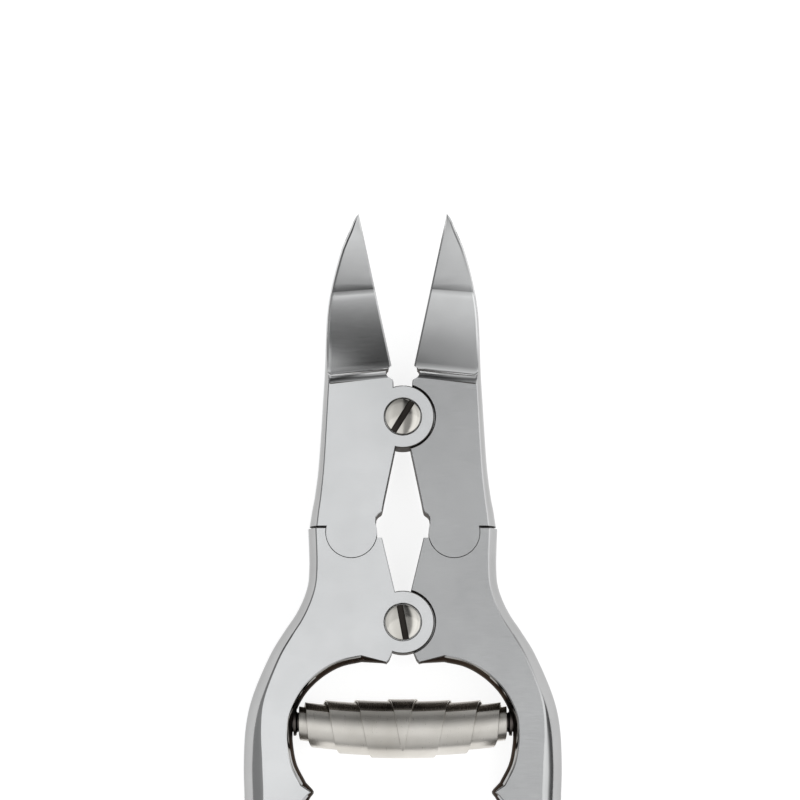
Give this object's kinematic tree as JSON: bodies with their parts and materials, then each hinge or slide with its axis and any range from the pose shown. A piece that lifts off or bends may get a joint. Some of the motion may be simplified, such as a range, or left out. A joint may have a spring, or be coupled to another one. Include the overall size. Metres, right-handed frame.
{
  "type": "nail nipper",
  "caption": "Double-action nail nipper: two pointed cutting jaws pivot on spring-opened handles, joined by lap pivots and link pins, and close when the grips are squeezed.",
  "frame": {"origin": "on the handle pivot's axis, in the back face that the tool lies on, where the pivot screw's end is flush", "axes": "+X to the tool's right as the screw heads are seen, +Y from the grips to the blade tips, +Z out of the front face, through the screw heads"},
  "size_m": [0.0704, 0.151, 0.0085],
  "materials": {
    "satin_steel": "fine satin faces with polished, rounded sides",
    "polished_steel": "polished",
    "spring_steel": "satin, slightly warm"
  },
  "bodies": {
    "right_handle": {"right_handle": "satin_steel", "handle_pivot_screw": "polished_steel", "right_spring_peg": "spring_steel"},
    "left_handle": {"left_handle": "satin_steel", "left_spring_peg": "spring_steel"},
    "right_jaw": {"right_jaw": "satin_steel", "jaw_pivot_screw": "polished_steel", "right_link_pin": "satin_steel"},
    "left_jaw": {"left_jaw": "satin_steel", "left_link_pin": "satin_steel"},
    "spring": {"barrel_spring": "spring_steel"}
  },
  "joints": [
    {"name": "handle_squeeze", "type": "hinge", "parent": "right_handle", "child": "left_handle", "pos_m": [0, 0, 0], "axis": [0, 0, 1], "range_deg": [0, 32.11], "stiffness_Nm_per_rad": 0.6, "springref_deg": -14.32},
    {"name": "right_jaw_link", "type": "hinge", "parent": "right_handle", "child": "right_jaw", "pos_m": [0.00658, 0.01154, 0], "axis": [0, 0, 1], "range_deg": [0, 28.06]},
    {"name": "left_jaw_link", "type": "hinge", "parent": "left_handle", "child": "left_jaw", "pos_m": [-0.00658, 0.01154, 0], "axis": [0, 0, -1], "range_deg": [0, 28.06]},
    {"name": "spring_lean", "type": "hinge", "parent": "right_handle", "child": "spring", "pos_m": [0.0141, -0.0127, 0], "axis": [0, 0, 1], "range_deg": [0, 16.06], "deforming": ["barrel_spring"]}
  ],
  "couplings": [
    {"joint": "right_jaw_link", "follows": "handle_squeeze", "ratio": 0.87364},
    {"joint": "left_jaw_link", "follows": "handle_squeeze", "ratio": 0.87364},
    {"joint": "spring_lean", "follows": "handle_squeeze", "ratio": 0.5}
  ]
}
